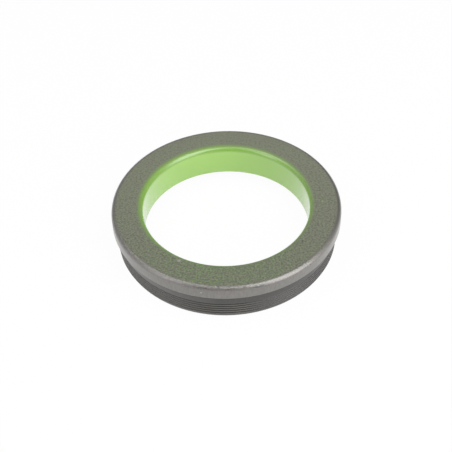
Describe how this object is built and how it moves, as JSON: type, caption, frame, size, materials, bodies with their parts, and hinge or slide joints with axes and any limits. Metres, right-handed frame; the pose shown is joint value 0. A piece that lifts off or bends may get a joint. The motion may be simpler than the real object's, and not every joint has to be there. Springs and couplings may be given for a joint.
{
  "type": "oil seal",
  "caption": "Cassette oil seal for a wheel hub: a flanged steel sleeve for the shaft turns inside a rubber-covered steel ring with a spring-loaded lip and a ribbed outside that grips the hub.",
  "frame": {"origin": "on the seal's axis, in the plane of the oil-side end that it stands on", "axes": "+Z along the axis, from the oil side towards the air side, where the flange is; +X and +Y are any two radii at a right angle"},
  "size_m": [0.156, 0.156, 0.03],
  "materials": {
    "lacquered_steel": "satin grey film on the flange and skirt, gloss green lacquer in the bore",
    "insert_steel": "satin, phosphated",
    "nitrile_rubber": "matt dark grey",
    "spring_wire": "drawn wire, bright"
  },
  "bodies": {
    "hub_side": {"steel_insert": "insert_steel", "sealing_body": "nitrile_rubber", "garter_spring": "spring_wire"},
    "shaft_side": {"wear_sleeve": "lacquered_steel"}
  },
  "joints": [
    {"name": "sleeve_spin", "type": "hinge", "parent": "hub_side", "child": "shaft_side", "pos_m": [0, 0, 0.015], "axis": [0, 0, 1], "continuous": true}
  ]
}
